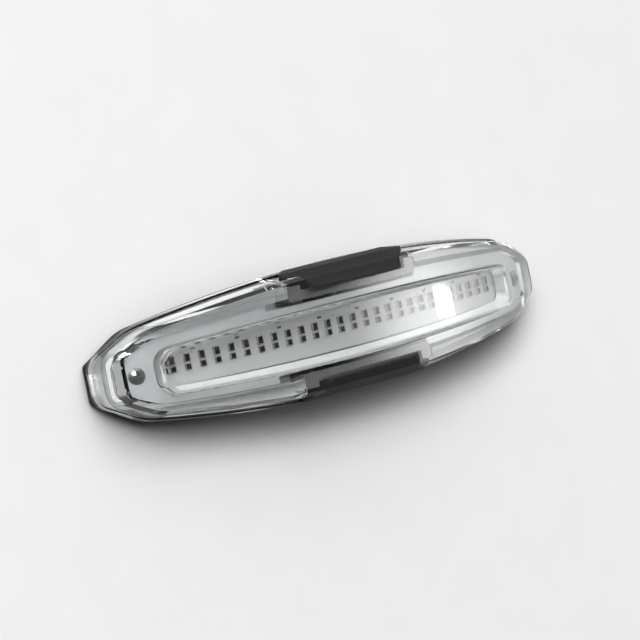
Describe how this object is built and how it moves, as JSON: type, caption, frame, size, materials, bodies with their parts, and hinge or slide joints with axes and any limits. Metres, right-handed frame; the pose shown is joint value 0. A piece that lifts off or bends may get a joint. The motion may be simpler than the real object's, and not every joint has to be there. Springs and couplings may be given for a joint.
{
  "type": "helmet rear light",
  "caption": "Long curved rear light for a helmet, with a clear lens over rows of lamps, a black rear shell and a rubber press pad on each long side.",
  "frame": {"origin": "middle of the light's bounding box in plan, on the plane on which the two ends of the rear shell stand", "axes": "+X along the light, +Y across it towards the upper press pad, +Z outwards from the helmet through the lens"},
  "size_m": [0.1422, 0.034, 0.0244],
  "materials": {
    "clear_lens": "clear polycarbonate, polished",
    "black_shell": "fine matt grain",
    "seal_rubber": "matt",
    "silver_plate": "satin silver",
    "frame_plastic": "matt",
    "white_board": "white board lacquer",
    "upper_lamp": "clear resin over dark chips",
    "lower_lamp": "clear resin over dark chips",
    "resistor": "matt",
    "plate_screw_steel": "plated",
    "case_screw_steel": "blackened",
    "green_board": "board lacquer",
    "chip_plastic": "matt",
    "coil_ferrite": "matt",
    "socket_plastic": "satin",
    "socket_plastic_low": "satin",
    "cable_film": "glossy film",
    "battery_foil": "foil pouch",
    "foam": "soft",
    "tab_board": "tape",
    "lead_sheath": "satin",
    "magnet_plate": "plated",
    "gold_contact": "gilt",
    "top_pad_rubber": "satin",
    "bottom_pad_rubber": "satin",
    "top_carrier_plastic": "satin",
    "bottom_carrier_plastic": "satin",
    "top_switch_body": "satin",
    "bottom_switch_body": "satin",
    "top_plunger_plastic": "satin",
    "bottom_plunger_plastic": "satin"
  },
  "bodies": {
    "housing": {"lens_cover": "clear_lens", "rear_shell": "black_shell", "perimeter_seal": "seal_rubber", "reflector_plate": "silver_plate", "inner_frame": "frame_plastic", "lamp_strip": "white_board", "upper_lamps": "upper_lamp", "lower_lamps": "lower_lamp", "strip_resistors": "resistor", "plate_screws": "plate_screw_steel", "case_screws": "case_screw_steel", "main_board": "green_board", "controller_chip": "chip_plastic", "power_coil": "coil_ferrite", "battery_socket": "socket_plastic", "cable_socket": "socket_plastic_low", "lamp_cable": "cable_film", "battery": "battery_foil", "battery_foam": "foam", "battery_tab": "tab_board", "battery_leads": "lead_sheath", "mount_magnets": "magnet_plate", "charge_contacts": "gold_contact", "top_switch": "top_switch_body", "bottom_switch": "bottom_switch_body"},
    "top_press": {"top_pad": "top_pad_rubber", "top_pad_carrier": "top_carrier_plastic", "top_switch_plunger": "top_plunger_plastic"},
    "bottom_press": {"bottom_pad": "bottom_pad_rubber", "bottom_pad_carrier": "bottom_carrier_plastic", "bottom_switch_plunger": "bottom_plunger_plastic"}
  },
  "joints": [
    {"name": "top_pad_press", "type": "slide", "parent": "housing", "child": "top_press", "axis": [0, -1, 0], "range_m": [0, 0.0006], "stiffness_N_per_m": 2500},
    {"name": "bottom_pad_press", "type": "slide", "parent": "housing", "child": "bottom_press", "axis": [0, 1, 0], "range_m": [0, 0.0006], "stiffness_N_per_m": 2500}
  ]
}
